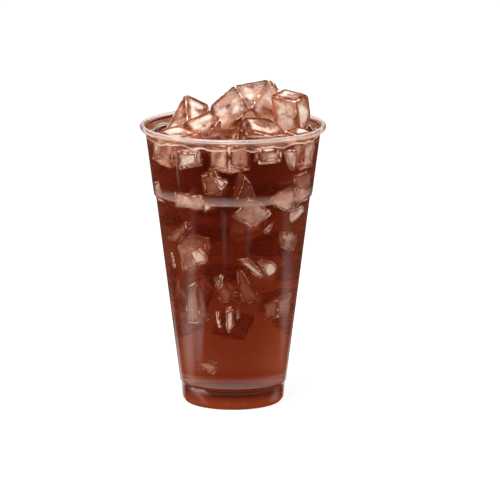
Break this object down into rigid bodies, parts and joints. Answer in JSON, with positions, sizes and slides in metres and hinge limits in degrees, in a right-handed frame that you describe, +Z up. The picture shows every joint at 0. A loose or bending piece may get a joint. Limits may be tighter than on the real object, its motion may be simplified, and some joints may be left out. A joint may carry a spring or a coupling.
{
  "type": "iced chocolate coffee drink",
  "caption": "Tall clear plastic cold cup of dark iced chocolate coffee, filled to just under its rolled rim, with ice cubes standing out of the drink.",
  "frame": {"origin": "middle of the cup's underside, on the surface that the cup stands on", "axes": "+Z up along the cup's axis, -Y towards the picture's viewer, +X to the viewer's right"},
  "size_m": [0.098, 0.098, 0.1677],
  "materials": {
    "clear_plastic": "clear and glossy",
    "drink": "dark liquid with a glossy surface",
    "ice": "wet ice, clear with cloudy middles"
  },
  "bodies": {
    "root": {"cup": "clear_plastic", "drink": "drink", "ice_back_left": "ice", "ice_peak": "ice", "ice_back_right": "ice", "ice_mid_left": "ice", "ice_front_left": "ice", "ice_mid_right": "ice", "ice_shard": "ice", "ice_right": "ice", "ice_front": "ice", "ice_front_right": "ice"}
  },
  "joints": []
}
